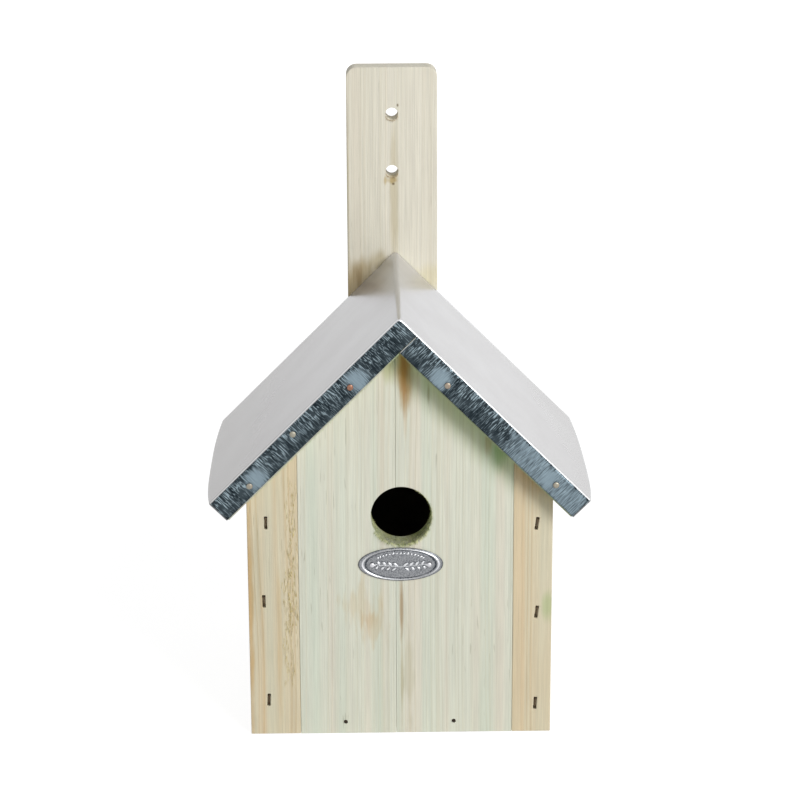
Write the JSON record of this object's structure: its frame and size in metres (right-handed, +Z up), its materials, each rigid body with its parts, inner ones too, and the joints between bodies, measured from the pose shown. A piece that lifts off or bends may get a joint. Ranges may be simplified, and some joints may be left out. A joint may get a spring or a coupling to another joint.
{
  "type": "birdhouse",
  "caption": "Gabled wooden nest box with a round entrance hole, a folded galvanised sheet roof and a tall rear board to hang it by.",
  "frame": {"origin": "middle of the whole outline, on the plane of the flush undersides that it stands on", "axes": "+Z up, +Y to the rear where it hangs against a wall or tree, +X to the right of someone facing the entrance hole"},
  "size_m": [0.2036, 0.1568, 0.3365],
  "materials": {
    "green_pine": "planed pine, pressure treated to a pale green",
    "yellow_pine": "planed yellow pine, slightly rough",
    "pale_pine": "sawn pale pine",
    "hanging_pine": "planed pale beige pine",
    "galvanised_sheet": "galvanised steel sheet, semi-gloss",
    "fastener_steel": "dull steel wire and nails, lightly rusted",
    "plate_aluminium": "embossed bright aluminium"
  },
  "bodies": {
    "root": {"back_floor_brad_1": "fastener_steel", "back_floor_brad_2": "fastener_steel", "back_roof_nail_left_1": "fastener_steel", "back_roof_nail_left_2": "fastener_steel", "back_roof_nail_right_1": "fastener_steel", "back_roof_nail_right_2": "fastener_steel", "back_staple_left_1": "fastener_steel", "back_staple_left_2": "fastener_steel", "back_staple_left_3": "fastener_steel", "back_staple_right_1": "fastener_steel", "back_staple_right_2": "fastener_steel", "back_staple_right_3": "fastener_steel", "back_stave_left": "pale_pine", "back_stave_middle": "pale_pine", "back_stave_right": "pale_pine", "floor_board": "pale_pine", "front_flange_nail_left_1": "fastener_steel", "front_flange_nail_left_2": "fastener_steel", "front_flange_nail_left_3": "fastener_steel", "front_flange_nail_right_1": "fastener_steel", "front_flange_nail_right_2": "fastener_steel", "front_floor_brad_1": "fastener_steel", "front_floor_brad_2": "fastener_steel", "front_ridge_nail": "fastener_steel", "front_roof_nail_left_1": "fastener_steel", "front_roof_nail_left_2": "fastener_steel", "front_roof_nail_right_1": "fastener_steel", "front_roof_nail_right_2": "fastener_steel", "front_staple_left_1": "fastener_steel", "front_staple_left_2": "fastener_steel", "front_staple_left_3": "fastener_steel", "front_staple_right_1": "fastener_steel", "front_staple_right_2": "fastener_steel", "front_staple_right_3": "fastener_steel", "front_stave_far_left": "yellow_pine", "front_stave_far_right": "yellow_pine", "front_stave_left": "green_pine", "front_stave_right": "green_pine", "hanging_board": "hanging_pine", "hanging_screw_lower_left": "fastener_steel", "hanging_screw_lower_right": "fastener_steel", "hanging_screw_upper_left": "fastener_steel", "hanging_screw_upper_right": "fastener_steel", "oval_plate": "plate_aluminium", "plate_pin_left": "plate_aluminium", "plate_pin_right": "plate_aluminium", "rear_flange_nail_left_1": "fastener_steel", "rear_flange_nail_left_2": "fastener_steel", "rear_flange_nail_right_1": "fastener_steel", "rear_flange_nail_right_2": "fastener_steel", "rear_ridge_nail": "fastener_steel", "roof_board_left": "pale_pine", "roof_board_right": "pale_pine", "roof_sheet": "galvanised_sheet", "side_board_left": "pale_pine", "side_board_right": "pale_pine"}
  },
  "joints": []
}
